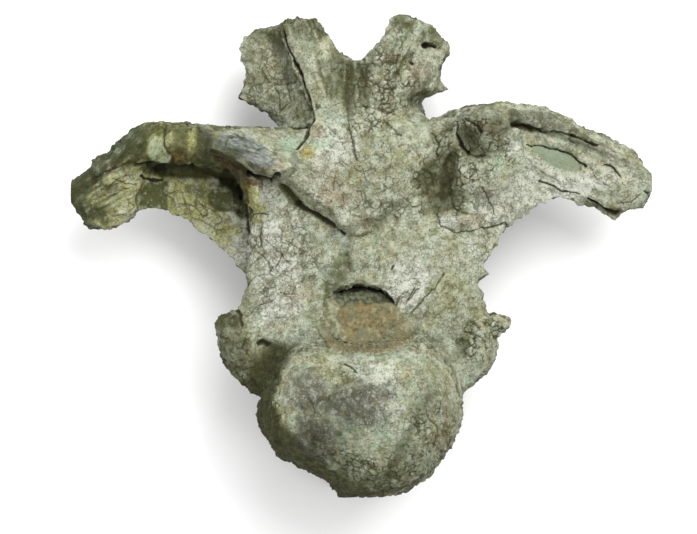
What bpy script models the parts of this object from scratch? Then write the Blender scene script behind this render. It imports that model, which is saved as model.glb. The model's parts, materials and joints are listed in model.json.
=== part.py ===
"""Fossil sauropod vertebra (an anterior dorsal with a forked neural spine), lying on its back.

The bone rests on the rim of its hollow rear face and on its two rear joint plates, with its front
face up. +X runs across the bone, +Y towards the tips of the spine, +Z out of the front face.
Sizes are in millimetres. X and Y start at the axis of the centrum, Z at the plane of rest, and
settle() then puts the middle of the whole bone's footprint at X = Y = 0.
The bone is one solid, and the hardened sediment in the neural canal is the other.
"""

import math

import bmesh
import bpy
import numpy as np
from mathutils import Euler, Vector

MM = 0.001

# Centrum: a drum with a ball in front and a socket behind, seen from the front as two outlines.
# An outline is a radius every 22.5 degrees, from +X towards +Y.
BALL_RADII = (91, 96, 96, 80, 70, 79, 88, 92, 92, 79, 66, 64, 69, 72, 79, 83)
RIM_RADII = (88, 88, 82, 74, 70, 74, 82, 88, 89, 82, 72, 68, 68, 70, 75, 81)
BALL_TOP_Z = 212
BALL_BASE_Z = 144
BALL_SHARE = 0.97
SOCKET_DEPTH = 46
SOCKET_SHARE = 0.84
WAIST_SHARE = 0.84

# Neural canal, an oval tunnel that narrows towards the back, and the sediment in it.
CANAL_Y = 95
CANAL_HALF_WIDTH = 31
CANAL_HALF_HEIGHT = 24
CANAL_BACK_SHARE = 0.75
CANAL_SIDES = 28
CANAL_CUT_Z = (-20, 260)
TOUCH_GAP = 0.4
MATRIX_BACK_Z = 34
MATRIX_FRONT_Z = 106
MATRIX_LEAN = 0.6

# Rear joint plates, mirrored about the middle. The bone rests on them.
REAR_PLATE = (95, 222, 18)
REAR_PLATE_RADII = (36, 12, 26)
REAR_PLATE_TURN = 25

# How finely the pieces are fused, and how many triangles the finished bone keeps.
FUSE_VOXEL = 2.8
BLEND_PASSES = 7
BONE_TRIANGLES = 11000
SUNK = 5


def smooth_path(rows, steps=5):
    """Rows of numbers drawn out smoothly (Catmull-Rom), with some steps to each span."""
    rows = np.array(rows, float)
    rows = np.vstack([2 * rows[0] - rows[1], rows, 2 * rows[-1] - rows[-2]])
    share = np.linspace(0, 1, steps, endpoint=False)[:, None]
    spans = []
    for before, start, end, after in zip(rows, rows[1:], rows[2:], rows[3:]):
        slope = end - before
        bend = 2 * before - 5 * start + 4 * end - after
        twist = 3 * start - before - 3 * end + after
        spans.append(start + 0.5 * (slope * share + bend * share**2 + twist * share**3))
    return np.vstack([*spans, rows[-2]])


def unit(vectors):
    """Vectors scaled to a length of one."""
    return vectors / np.linalg.norm(vectors, axis=-1, keepdims=True)


def finished(name, bm):
    """A bmesh as a new object in the scene."""
    mesh = bpy.data.meshes.new(name)
    bm.to_mesh(mesh)
    bm.free()
    part = bpy.data.objects.new(name, mesh)
    bpy.context.scene.collection.objects.link(part)
    return part


def skinned(name, rings):
    """A closed object through rings that all have the same number of points."""
    bm = bmesh.new()
    loops = [[bm.verts.new(Vector(point) * MM) for point in ring] for ring in rings]
    for first, second in zip(loops, loops[1:]):
        for i in range(len(first)):
            j = (i + 1) % len(first)
            bm.faces.new((first[i], first[j], second[j], second[i]))
    bm.faces.new(reversed(loops[0]))
    bm.faces.new(loops[-1])
    bmesh.ops.recalc_face_normals(bm, faces=bm.faces)
    return finished(name, bm)


def limb(name, stations, sides=16):
    """A round-ended bar. A station is x, y, z, the half width across the bar and the half depth in z."""
    rows = smooth_path(stations)
    centres, wide, deep = rows[:, :3], rows[:, 3], rows[:, 4]
    along = unit(np.gradient(centres, axis=0))
    up = np.array((0.0, 0.0, 1.0))
    across = unit(np.cross(up, along))
    spots = []
    for end, caps in ((0, (-0.95, -0.7, -0.35)), (-1, (0.35, 0.7, 0.95))):
        for cap in caps:
            push = along[end] * min(wide[end], deep[end]) * cap
            share = math.sqrt(1 - cap * cap)
            spots.append((centres[end] + push, across[end], wide[end] * share, deep[end] * share))
    spots[3:3] = zip(centres, across, wide, deep)
    turn = np.linspace(0, 2 * math.pi, sides, endpoint=False)[:, None]
    return skinned(name, [c + np.cos(turn) * a * w + np.sin(turn) * up * d for c, a, w, d in spots])


def lamina(name, edge_a, edge_b, thick_a, thick_b):
    """A sheet of bone between two edges of x, y, z points, with its thickness at either edge."""
    edge_a, edge_b = smooth_path(edge_a), smooth_path(edge_b)
    over = unit(edge_b - edge_a)
    out = unit(np.cross(over, unit(np.gradient((edge_a + edge_b) / 2, axis=0))))
    profile = [(-1, 0), (-0.7, 0.7), (1, 1)]
    rings = []
    for a, b, o, n in zip(edge_a, edge_b, over, out):
        side_a = [a + (o * u + n * v) * thick_a / 2 for u, v in profile]
        side_b = [b + (-o * u + n * v) * thick_b / 2 for u, v in reversed(profile)]
        under_b = [b + (-o * u - n * v) * thick_b / 2 for u, v in profile[1:]]
        under_a = [a + (o * u - n * v) * thick_a / 2 for u, v in reversed(profile[1:])]
        rings.append([*side_a, *side_b, *under_b, *under_a])
    return skinned(name, rings)


def lump(name, centre, radii, turn=(0, 0, 0)):
    """An ellipsoid, turned by some degrees about X, Y and Z."""
    bm = bmesh.new()
    bmesh.ops.create_icosphere(bm, subdivisions=3, radius=1)
    bmesh.ops.scale(bm, vec=Vector(radii) * MM, verts=bm.verts)
    spin = Euler([math.radians(degrees) for degrees in turn]).to_matrix()
    bmesh.ops.rotate(bm, matrix=spin, verts=bm.verts)
    bmesh.ops.translate(bm, vec=Vector(centre) * MM, verts=bm.verts)
    return finished(name, bm)


def outline(radii, sides=48):
    """Points round a closed outline, from its radius at even angles."""
    count = len(radii)
    ring = smooth_path([[radii[i % count]] for i in range(-1, count + 2)], 6)[6:-6, 0]
    share = np.arange(sides) / sides
    reach = np.interp(share * count, np.arange(len(ring)) / 6, ring)
    turn = share * 2 * math.pi
    return np.stack([reach * np.cos(turn), reach * np.sin(turn)], axis=1)


def centrum():
    """The drum, from the middle of its socket round the rear rim and forward to the top of the ball."""
    ball, rim = outline(BALL_RADII), outline(RIM_RADII)
    stations = [(SOCKET_DEPTH * (1 - s * s), rim * SOCKET_SHARE * s) for s in (0.1, 0.4, 0.65, 0.85, 1)]
    stations += [(4, rim * 0.9), (-SUNK, rim * 0.94), (2, rim), (16, rim)]
    stations += [(46, rim * (1 + WAIST_SHARE) / 2), (74, ball * WAIST_SHARE), (100, ball * 0.9)]
    stations += [(122, ball), (138, ball)]
    height = BALL_TOP_Z - BALL_BASE_Z
    for share in (0, 0.3, 0.55, 0.75, 0.9, 0.98):
        stations.append((BALL_BASE_Z + height * share, ball * BALL_SHARE * (1 - share**2.4) ** 0.5))
    rings = [[(x, y, z) for x, y in ring] for z, ring in stations]
    return skinned("centrum", rings)


def front_spine():
    """The forked front sheets of the spine, down to the V that joins the front joint plates."""
    left = lamina(
        "spine_front_left",
        [
            (-66, 359, 92),
            (-60, 331, 95),
            (-46, 297, 103),
            (-39, 266, 113),
            (-52, 238, 128),
            (-62, 218, 142),
            (-35, 190, 143),
        ],
        [
            (-46, 361, 90),
            (-31, 334, 93),
            (-9, 308, 99),
            (-2, 266, 108),
            (-5, 216, 124),
            (-10, 192, 134),
            (-13, 172, 140),
        ],
        20,
        20,
    )
    right = lamina(
        "spine_front_right",
        [
            (40, 363, 84),
            (26, 338, 86),
            (2, 312, 92),
            (-9, 284, 102),
            (-10, 246, 112),
            (-11, 212, 122),
            (-13, 190, 132),
            (-13, 172, 140),
        ],
        [
            (60, 358, 80),
            (69, 334, 80),
            (64, 308, 84),
            (47, 278, 92),
            (60, 250, 106),
            (72, 228, 116),
            (52, 204, 122),
            (14, 178, 132),
        ],
        22,
        24,
    )
    return [left, right]


def spine_branches():
    """What stands behind the front sheets: the side sheets, each branch's core and its rear edge."""
    left_sheet = lamina(
        "spine_side_left",
        [(-85, 354, 70), (-104, 339, 68), (-99, 314, 68), (-103, 292, 66), (-86, 276, 70), (-70, 258, 74)],
        [(-52, 358, 72), (-50, 338, 74), (-46, 314, 76), (-40, 293, 80), (-36, 273, 84), (-32, 250, 88)],
        16,
        22,
    )
    right_sheet = lamina(
        "spine_side_right",
        [(42, 352, 68), (40, 326, 70), (40, 300, 74), (30, 272, 78)],
        [(64, 351, 64), (71, 330, 64), (72, 298, 66), (50, 272, 72)],
        22,
        15,
    )
    parts = [left_sheet, right_sheet]
    for side, tip_x, tip_y in ((-1, -62, 342), (1, 50, 336)):
        core = [(side * 34, 190, 82, 34, 34), (side * 40, 262, 78, 24, 27), (tip_x, tip_y, 70, 18, 20)]
        parts.append(limb(f"spine_core_{side}", core))
        rear = [(side * 88, 226, 14), (side * 72, 262, 28), (side * 64, 300, 42), (tip_x, tip_y, 52)]
        front = [(side * 60, 226, 60), (side * 50, 262, 66), (side * 48, 300, 70), (tip_x * 0.8, tip_y, 72)]
        parts.append(lamina(f"spine_rear_{side}", rear, front, 14, 20))
    return parts


def arch():
    """The wall in front, the block round the neural canal, and the pillars and plates at the back."""
    wall = lamina(
        "arch_wall",
        [
            (-74, 222, 118),
            (-80, 183, 117),
            (-82, 151, 114),
            (-87, 129, 112),
            (-89, 106, 110),
            (-94, 84, 108),
            (-84, 50, 110),
        ],
        [
            (76, 222, 114),
            (92, 183, 112),
            (99, 151, 110),
            (96, 129, 108),
            (97, 106, 108),
            (97, 84, 106),
            (84, 50, 112),
        ],
        34,
        32,
    )
    block = [(0, 40, 68, 80, 48), (0, 120, 68, 78, 48), (0, 190, 68, 74, 46), (0, 222, 76, 62, 38)]
    parts = [wall, limb("arch_block", block)]
    x, y, z = REAR_PLATE
    for side in (-1, 1):
        pillar = [
            (side * 56, 40, 30, 20, 24),
            (side * 62, 110, 27, 16, 20),
            (side * 76, 170, 23, 15, 18),
            (side * 86, 212, 20, 16, 18),
        ]
        parts.append(limb(f"rear_pillar_{side}", pillar))
        low = [(side * 76, 210, 20), (side * 40, 188, 22), (0, 170, 24)]
        deep = [(side * 68, 216, 60), (side * 36, 196, 60), (0, 184, 60)]
        parts.append(lamina(f"rear_v_{side}", low, deep, 14, 22))
        plate_turn = (0, 0, side * REAR_PLATE_TURN)
        parts.append(lump(f"rear_plate_{side}", (side * x, y, z), REAR_PLATE_RADII, plate_turn))
        parts.append(lump(f"rear_plate_root_{side}", (side * 78, 214, 34), (26, 22, 26)))
    return parts


def left_process():
    """The left transverse process: a bar bent down to a blunt tip, a roof behind it and a web below."""
    bar = limb(
        "left_bar",
        [
            (-60, 244, 98, 18, 34),
            (-108, 243, 104, 19, 34),
            (-144, 246, 104, 19, 30),
            (-173, 247, 101, 20, 28),
            (-198, 241, 98, 24, 26),
            (-221, 218, 94, 26, 24),
        ],
    )
    tip = lamina(
        "left_tip",
        [(-198, 238, 94), (-220, 223, 92), (-238, 209, 90), (-256, 196, 88)],
        [(-204, 202, 90), (-217, 188, 88), (-233, 184, 87), (-253, 186, 86)],
        38,
        34,
    )
    web = lamina(
        "left_web",
        [(-209, 226, 80), (-180, 236, 80), (-149, 240, 80), (-117, 234, 80), (-88, 214, 84), (-66, 160, 90)],
        [(-203, 195, 78), (-177, 193, 77), (-158, 184, 77), (-128, 158, 78), (-102, 133, 82), (-95, 108, 88)],
        20,
        12,
    )
    roof = lamina(
        "left_roof",
        [(-56, 248, 84), (-120, 249, 84), (-165, 250, 82), (-200, 240, 78)],
        [(-80, 232, 22), (-118, 240, 34), (-158, 245, 48), (-192, 237, 60)],
        18,
        12,
    )
    return [bar, tip, web, roof]


def right_process():
    """The right transverse process: a straighter wing, thick along its top edge."""
    wing = lamina(
        "right_wing",
        [
            (66, 214, 104),
            (98, 256, 102),
            (133, 264, 100),
            (177, 258, 96),
            (212, 240, 92),
            (238, 222, 88),
            (254, 210, 86),
        ],
        [
            (92, 118, 102),
            (112, 158, 100),
            (134, 179, 98),
            (172, 204, 94),
            (204, 199, 90),
            (228, 190, 88),
            (250, 201, 86),
        ],
        28,
        17,
    )
    bar = limb(
        "right_bar",
        [
            (70, 256, 86, 14, 32),
            (104, 267, 90, 15, 36),
            (140, 269, 90, 15, 33),
            (174, 263, 88, 15, 29),
            (206, 248, 86, 15, 25),
            (238, 228, 84, 16, 22),
            (246, 214, 84, 16, 19),
        ],
    )
    tip = lump("right_tip", (238, 208, 86), (27, 21, 21), (0, 0, -24))
    roof = lamina(
        "right_roof",
        [(50, 258, 80), (120, 264, 80), (165, 258, 78), (204, 240, 76)],
        [(80, 232, 22), (118, 246, 34), (158, 250, 48), (192, 240, 60)],
        18,
        12,
    )
    return [wing, bar, tip, roof]


def front_joints():
    """The left front joint plate on its ridge, and the broken stump of the right one."""
    plate_root = [(-119, 246, 126), (-94, 234, 124), (-70, 222, 124)]
    plate_face = [(-119, 246, 164), (-95, 235, 171), (-72, 224, 165)]
    left_root = [(-72, 220, 112, 28, 30), (-90, 227, 128, 26, 22)]
    left_ridge = [
        (-107, 224, 134, 13, 24),
        (-101, 198, 126, 12, 20),
        (-96, 176, 117, 11, 18),
        (-92, 152, 108, 11, 14),
    ]
    stump = [(82, 236, 104, 20, 32), (104, 254, 116, 24, 34), (128, 262, 108, 22, 32)]
    stump_foot = [(88, 212, 106, 24, 28), (110, 222, 108, 26, 28), (132, 236, 102, 20, 22)]
    return [
        lamina("left_plate", plate_root, plate_face, 22, 19),
        limb("left_plate_root", left_root),
        limb("left_ridge", left_ridge),
        limb("right_stump", stump),
        limb("right_stump_foot", stump_foot),
        lump("right_stump_knob", (112, 264, 132), (17, 16, 20), (0, 20, 15)),
    ]


def rib_facets():
    """The low facets on either side of the centrum that the lower heads of the ribs met."""
    return [
        limb("left_facet", [(-97, 78, 102, 27, 30), (-102, 62, 104, 26, 32), (-90, 38, 106, 17, 28)]),
        lump("left_facet_top", (-117, 80, 104), (15, 14, 24)),
        limb("right_facet", [(96, 76, 102, 25, 30), (101, 60, 104, 23, 32), (91, 40, 106, 16, 28)]),
        lump("right_facet_top", (121, 85, 104), (17, 9, 20), (0, 0, 6)),
    ]


def hollows():
    """Cutters for the air hollows in the bone's sides and the pits by its broken front joint."""
    cutters = [
        lump("stump_pit", (88, 248, 152), (12, 16, 20)),
        lump("stump_valley", (76, 212, 148), (12, 24, 20), (0, 0, -10)),
    ]
    for side in (-1, 1):
        cutters.append(lump(f"side_hollow_{side}", (side * 92, 6, 64), (26, 19, 32), (0, 0, side * -8)))
        cutters.append(lump(f"arch_hollow_{side}", (side * 98, 150, 50), (22, 42, 18), (0, 0, side * -8)))
        cutters.append(lump(f"facet_hollow_{side}", (side * 96, 78, 50), (18, 24, 18)))
    return cutters


def canal_ring(level, shrink=0, lean=0):
    """A ring of the neural canal's oval, shrunk by some millimetres, its lower side leaning forward."""
    ring = []
    for angle in np.linspace(0, 2 * math.pi, CANAL_SIDES, endpoint=False):
        z = level - lean * CANAL_HALF_HEIGHT * math.sin(angle)
        share = CANAL_BACK_SHARE + (1 - CANAL_BACK_SHARE) * z / MATRIX_FRONT_Z
        wide, high = CANAL_HALF_WIDTH * share - shrink, CANAL_HALF_HEIGHT * share - shrink
        ring.append((wide * math.cos(angle), CANAL_Y + high * math.sin(angle), z))
    return ring


def canal_matrix():
    """The sediment left in the canal, its front sloping back under the canal's roof."""
    rings = [canal_ring(MATRIX_BACK_Z, TOUCH_GAP), canal_ring(MATRIX_FRONT_Z, TOUCH_GAP, MATRIX_LEAN)]
    return skinned("canal_matrix", rings)


def joined(name, parts):
    """Several objects as one object, which may still hold overlapping bodies."""
    bm = bmesh.new()
    for part in parts:
        bm.from_mesh(part.data)
        bpy.data.objects.remove(part)
    return finished(name, bm)


def modified(part, kind, **settings):
    """Adds a modifier with its settings and applies it."""
    modifier = part.modifiers.new(kind.title(), kind)
    for key, value in settings.items():
        setattr(modifier, key, value)
    mesh = bpy.data.meshes.new_from_object(part.evaluated_get(bpy.context.evaluated_depsgraph_get()))
    part.modifiers.clear()
    part.data = mesh


def cut(part, cutter):
    """Cuts one closed object out of another."""
    modified(part, "BOOLEAN", operation="DIFFERENCE", object=cutter)
    bpy.data.objects.remove(cutter)


def floor_block():
    """A block under the plane of rest, which trims the bone's feet flat."""
    bm = bmesh.new()
    bmesh.ops.create_cube(bm, size=1)
    bmesh.ops.scale(bm, vec=(1, 1, 0.1), verts=bm.verts)
    bmesh.ops.translate(bm, vec=(0, 0, -0.05), verts=bm.verts)
    return finished("floor_block", bm)


def vertebra():
    """The whole bone: its pieces fused, blended into each other, thinned out and cut to its openings."""
    pieces = [centrum(), *front_spine(), *spine_branches(), *arch()]
    pieces += [*left_process(), *right_process(), *front_joints(), *rib_facets()]
    bone = joined("vertebra", pieces)
    modified(bone, "REMESH", mode="VOXEL", voxel_size=FUSE_VOXEL * MM)
    cut(bone, joined("hollows", hollows()))
    modified(bone, "REMESH", mode="VOXEL", voxel_size=FUSE_VOXEL * MM)
    modified(bone, "SMOOTH", factor=0.5, iterations=BLEND_PASSES)
    triangles = sum(len(face.vertices) - 2 for face in bone.data.polygons)
    modified(bone, "DECIMATE", ratio=BONE_TRIANGLES / triangles)
    cut(bone, skinned("canal", [canal_ring(level) for level in CANAL_CUT_Z]))
    cut(bone, floor_block())
    return bone


def settle(parts):
    """Moves the parts together so that the middle of their footprint is at X = Y = 0."""
    corners = np.array([v.co for part in parts for v in part.data.vertices])
    middle = (corners.min(axis=0) + corners.max(axis=0)) / 2
    for part in parts:
        part.location = (-middle[0], -middle[1], 0)


def painted(part, name, colour, roughness):
    """Gives a part its own plain material."""
    material = bpy.data.materials.new(name)
    material.use_nodes = True
    shader = material.node_tree.nodes["Principled BSDF"]
    shader.inputs["Base Color"].default_value = (*colour, 1)
    shader.inputs["Roughness"].default_value = roughness
    shader.inputs["Metallic"].default_value = 0
    part.data.materials.clear()
    part.data.materials.append(material)


def main():
    for thing in list(bpy.data.objects):
        bpy.data.objects.remove(thing)
    bone = vertebra()
    matrix = canal_matrix()
    painted(bone, "fossil_bone", (0.47, 0.47, 0.38), 0.85)
    painted(matrix, "sediment", (0.36, 0.26, 0.15), 0.95)
    bone.data.shade_smooth()
    settle([bone, matrix])


main()
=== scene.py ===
"""Looks of the fossil vertebra: cracked grey-green bone, with brown sediment in its neural canal.

The solids give the bone's form. Here a copy of the bone's mesh gets its broken surface: lumps,
plates with cracks between them, rubble, slits and pits, with masks for the stains on it.
Sizes are in millimetres from the axis of the centrum, and heights from the floor.
"""

import json
import math
from itertools import product

import bmesh
import bpy
import numpy as np
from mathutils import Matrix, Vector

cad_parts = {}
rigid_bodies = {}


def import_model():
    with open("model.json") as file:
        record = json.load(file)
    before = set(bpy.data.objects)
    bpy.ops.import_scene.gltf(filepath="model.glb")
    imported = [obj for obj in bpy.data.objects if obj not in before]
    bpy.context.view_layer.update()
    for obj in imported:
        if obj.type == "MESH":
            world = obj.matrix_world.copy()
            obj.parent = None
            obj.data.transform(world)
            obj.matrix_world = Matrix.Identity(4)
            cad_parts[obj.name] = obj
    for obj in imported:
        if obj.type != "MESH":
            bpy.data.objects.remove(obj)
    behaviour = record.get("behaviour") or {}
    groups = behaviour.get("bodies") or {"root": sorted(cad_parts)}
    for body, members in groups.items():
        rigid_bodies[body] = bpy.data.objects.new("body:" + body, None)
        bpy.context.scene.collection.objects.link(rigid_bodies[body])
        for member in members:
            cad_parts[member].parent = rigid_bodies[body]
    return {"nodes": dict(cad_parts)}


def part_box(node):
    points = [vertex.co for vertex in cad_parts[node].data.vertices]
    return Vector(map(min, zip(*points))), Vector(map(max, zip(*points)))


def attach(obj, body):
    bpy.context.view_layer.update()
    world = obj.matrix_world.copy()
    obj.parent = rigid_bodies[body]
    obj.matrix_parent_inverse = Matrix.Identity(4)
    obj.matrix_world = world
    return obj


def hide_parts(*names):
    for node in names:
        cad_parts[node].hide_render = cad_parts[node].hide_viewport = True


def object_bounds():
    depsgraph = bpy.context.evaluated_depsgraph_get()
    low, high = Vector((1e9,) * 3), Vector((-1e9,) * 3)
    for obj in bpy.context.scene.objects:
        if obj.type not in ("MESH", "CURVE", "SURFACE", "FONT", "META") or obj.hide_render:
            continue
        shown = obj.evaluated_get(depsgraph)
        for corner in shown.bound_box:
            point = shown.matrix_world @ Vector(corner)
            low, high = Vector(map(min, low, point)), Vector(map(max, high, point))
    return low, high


MM = 0.001

# The canal's axis stands this far above the centrum's, which gives the origin used here.
CANAL_UP = 94.2

# The bone's mesh: the size of its first, coarse net, and how often that is smoothed.
NET = 2.0
NET_PASSES = 1

# Colours are given as they look in the render. Its light makes them brighter, so each is multiplied
# by this.
PAINT = (0.782, 0.8, 0.786, 1)

# What belongs to the bone's front is above this height.
FRONT = 60

# The camera looks straight down on the front of the bone.
CAMERA_SPOT = (-10.35, 135.9, 3100)
CAMERA_LENS = 172.2


def soft(value, low, high):
    """0 up to low, 1 from high on and smooth between them."""
    share = np.clip((value - low) / (high - low), 0, 1)
    return share * share * (3 - 2 * share)


def drawn(cell, seed):
    """A repeatable random number from 0 to 1 for each cell of whole numbers."""
    mixed = cell[:, 0] * 374761393 + cell[:, 1] * 668265263 + cell[:, 2] * 974634777 + seed * 1442695041
    mixed = (mixed ^ (mixed >> 13)) * 1274126177
    mixed = (mixed ^ (mixed >> 16)) * 2246822519
    return ((mixed ^ (mixed >> 15)) & 0xFFFFFF) / 0xFFFFFF


def noise(points, size, seed):
    """Smooth noise from -1 to 1, with lumps of about that size."""
    scaled = points / size
    base = np.floor(scaled).astype(np.int64)
    share = scaled - base
    share = share * share * (3 - 2 * share)
    total = np.zeros(len(points))
    for corner in product((0, 1), repeat=3):
        weight = np.prod(np.where(corner, share, 1 - share), axis=1)
        total += weight * drawn(base + corner, seed)
    return 2 * total - 1


def rough(points, size, seed, octaves=3):
    """Noise with finer noise on it, each layer half as large and half as strong."""
    layers = [noise(points, size / 2**i, seed + i) / 2**i for i in range(octaves)]
    return sum(layers) / (2 - 0.5 ** (octaves - 1))


def warped(points, size, amount, seed):
    """Points pushed about by noise, so that what follows them runs unevenly."""
    return points + amount * np.stack([rough(points, size, seed + 10 * i, 2) for i in range(3)], axis=1)


def cells(points, size, seed):
    """Cells round scattered seeds: the distance to the cell's edge, the way to its seed and its number."""
    scaled = points / size
    base = np.floor(scaled).astype(np.int64)
    near = np.full(len(points), 99.0)
    second = near.copy()
    near_way = np.zeros_like(scaled)
    second_way = near_way.copy()
    number = near.copy()
    for step in product((-1, 0, 1), repeat=3):
        cell = base + step
        jitter = np.stack([drawn(cell, seed + i) for i in range(3)], axis=1)
        way = cell + 0.1 + 0.8 * jitter - scaled
        gap = np.einsum("ij,ij->i", way, way)
        first = gap < near
        runner_up = ~first & (gap < second)
        second = np.where(first, near, np.where(runner_up, gap, second))
        second_way = np.where(first[:, None], near_way, np.where(runner_up[:, None], way, second_way))
        near = np.where(first, gap, near)
        near_way = np.where(first[:, None], way, near_way)
        number = np.where(first, drawn(cell, seed + 3), number)
    across = second_way - near_way
    across /= np.linalg.norm(across, axis=1, keepdims=True) + 1e-9
    edge = np.einsum("ij,ij->i", (near_way + second_way) / 2, across) * size
    return edge, near_way * size, number


def boxed(spots, path, reach):
    """The numbers of the spots that lie in the box round a path, which is that much larger all round."""
    return np.all((spots > path.min(0) - reach) & (spots < path.max(0) + reach), axis=1).nonzero()[0]


def from_line(spots, a, b):
    """How far each spot is from the line between two points, and the share of its way along the line."""
    along = b - a
    share = np.clip((spots - a) @ along / (along @ along), 0, 1)
    return np.linalg.norm(spots - a - share[:, None] * along, axis=1), share


def near_path(spots, path, width):
    """How near each spot is to a path seen from the front: 1 on it, and 0 from its half width on."""
    path = np.array(path, float)
    ends = width if isinstance(width, tuple) else (width, width)
    widths = np.linspace(*ends, len(path))
    found = np.zeros(len(spots))
    inside = boxed(spots, path, widths.max())
    best = np.zeros(len(inside))
    for a, b, wide_a, wide_b in zip(path, path[1:], widths, widths[1:]):
        gap, share = from_line(spots[inside], a, b)
        best = np.maximum(best, 1 - gap / (wide_a + (wide_b - wide_a) * share))
    found[inside] = best
    return found


def near_spot(spots, centre, radii, turn=0):
    """How far each spot lies inside an ellipse seen from the front: 1 at its middle, 0 at its edge."""
    angle = math.radians(turn)
    x, y = (spots - centre).T
    along = (x * math.cos(angle) + y * math.sin(angle)) / radii[0]
    across = (y * math.cos(angle) - x * math.sin(angle)) / radii[1]
    return np.clip(1 - np.hypot(along, across), 0, 1)


def near_shape(spots, outline, edge):
    """How far each spot lies inside an outline seen from the front: 0 outside, 1 inside, soft between."""
    outline = np.array(outline, float)
    found = np.zeros(len(spots))
    near = boxed(spots, outline, edge)
    here = spots[near]
    gap = np.full(len(here), 1e9)
    inside = np.zeros(len(here), bool)
    for a, b in zip(outline, np.roll(outline, -1, axis=0)):
        gap = np.minimum(gap, from_line(here, a, b)[0])
        crossed = (a[1] > here[:, 1]) != (b[1] > here[:, 1])
        slope = (b[0] - a[0]) / (b[1] - a[1] or 1e-9)
        inside ^= crossed & (here[:, 0] < a[0] + (here[:, 1] - a[1]) * slope)
    found[near] = soft(np.where(inside, gap, -gap), -edge, edge)
    return found


def streaks(points, angle, seed):
    """Noise drawn out along one direction seen from the front."""
    turn = math.radians(angle)
    along = points[:, 0] * math.cos(turn) + points[:, 1] * math.sin(turn)
    across = points[:, 1] * math.cos(turn) - points[:, 0] * math.sin(turn)
    return np.stack([0.16 * along, across, 0.5 * points[:, 2]], axis=1)


def field(spots, start, rows):
    """A value over the bone's front: start, and another one inside each row's ellipse."""
    value = np.full(len(spots), float(start))
    for centre, radii, target, *turn in rows:
        value += (target - value) * soft(near_spot(spots, centre, radii, *turn), 0, 0.55)
    return value


def read(mesh, what="co"):
    """Every vertex's place, or its normal."""
    values = np.zeros(len(mesh.vertices) * 3, np.float32)
    if what == "co":
        mesh.vertices.foreach_get("co", values)
    else:
        mesh.vertex_normals.foreach_get("vector", values)
    return values.reshape(-1, 3).astype(float)


def place(mesh, places):
    """Puts every vertex at its place."""
    mesh.vertices.foreach_set("co", places.astype(np.float32).ravel())
    mesh.update()


def store(mesh, masks):
    """Stores the masks on a mesh, where its material finds them."""
    for name, values in masks.items():
        layer = mesh.attributes.new(name, "FLOAT", "POINT")
        layer.data.foreach_set("value", values.astype(np.float32))


def modified(thing, kind, **settings):
    """Adds a modifier with its settings and applies it."""
    modifier = thing.modifiers.new(kind.title(), kind)
    for key, value in settings.items():
        setattr(modifier, key, value)
    mesh = bpy.data.meshes.new_from_object(thing.evaluated_get(bpy.context.evaluated_depsgraph_get()))
    thing.modifiers.clear()
    thing.data = mesh


def weighted(piece, name, weights):
    """A vertex group with those weights."""
    group = piece.vertex_groups.new(name=name)
    for index in (weights > 0.01).nonzero()[0]:
        group.add([int(index)], float(weights[index]), "REPLACE")


def netted(name, node, net, passes, softened=()):
    """A copy of a CAD node with an even, fine mesh and its own UV map, smoothed more where it's asked."""
    mesh = bpy.data.meshes.new(name)
    bm = bmesh.new()
    bm.from_mesh(frame["nodes"][node].data)
    bmesh.ops.remove_doubles(bm, verts=bm.verts, dist=0.01 * MM)
    bm.to_mesh(mesh)
    bm.free()
    piece = bpy.data.objects.new(name, mesh)
    bpy.context.scene.collection.objects.link(piece)
    modified(piece, "REMESH", mode="VOXEL", voxel_size=net * MM)
    modified(piece, "SMOOTH", factor=0.5, iterations=passes)
    if softened:
        points, normals = read(piece.data) / MM - origin, read(piece.data, "normal")
        found = np.zeros(len(points))
        for path, width in softened:
            found = np.maximum(found, soft(near_path(points[:, :2], path, width), 0, 0.5))
        weighted(piece, "softened", found * soft(normals[:, 2], -0.1, 0.1) * (points[:, 2] > FRONT))
        modified(piece, "SMOOTH", factor=0.5, iterations=30, vertex_group="softened")
    bpy.context.view_layer.objects.active = piece
    piece.select_set(True)
    piece.data.uv_layers.new(name="OFBake")
    bpy.ops.object.mode_set(mode="EDIT")
    bpy.ops.mesh.select_all(action="SELECT")
    bpy.ops.uv.smart_project(angle_limit=math.radians(66), island_margin=0.001)
    bpy.ops.object.mode_set(mode="OBJECT")
    piece.select_set(False)
    modified(piece, "SUBSURF", levels=1, subdivision_type="SIMPLE")
    modified(piece, "SMOOTH", factor=0.5, iterations=1)
    piece.data.shade_smooth()
    return piece


def shifted(points):
    """The points after the small shifts that bring the bone's outline and edges to their places."""
    moved = points.copy()
    for spot, push, radii, *turn in SHIFTS:
        moved[:, :2] += soft(near_spot(points[:, :2], spot, radii, *turn), 0, 1)[:, None] * push
    return moved


for thing in list(bpy.data.objects):
    bpy.data.objects.remove(thing)
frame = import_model()
cad_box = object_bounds()
canal_low, canal_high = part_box("canal_matrix")
origin = (np.array(canal_low) + np.array(canal_high)) / 2 / MM - (0, CANAL_UP, 0)
origin[2] = 0

# Where creases of the plain form are smoothed away: the path seen from the front and its half width.
SOFTENED = [
    ([(-132, 242), (-104, 236), (-74, 222)], 26),
    ([(-70, 60), (-53, 69), (-25, 67), (19, 68), (53, 74), (71, 66), (86, 45), (90, 20)], 13),
    ([(-128, 66), (-100, 62), (-70, 62)], 16),
    ([(-6, 164), (14, 170), (34, 193), (60, 210)], 14),
    ([(-204, 222), (-186, 222), (-170, 222)], 12),
]

# The left front joint plate, which is flat.
PLATE = [(-134, 238), (-132, 250), (-118, 258), (-100, 259), (-80, 252), (-60, 238), (-58, 224), (-70, 216),
         (-82, 221), (-97, 225), (-115, 231)]

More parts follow.
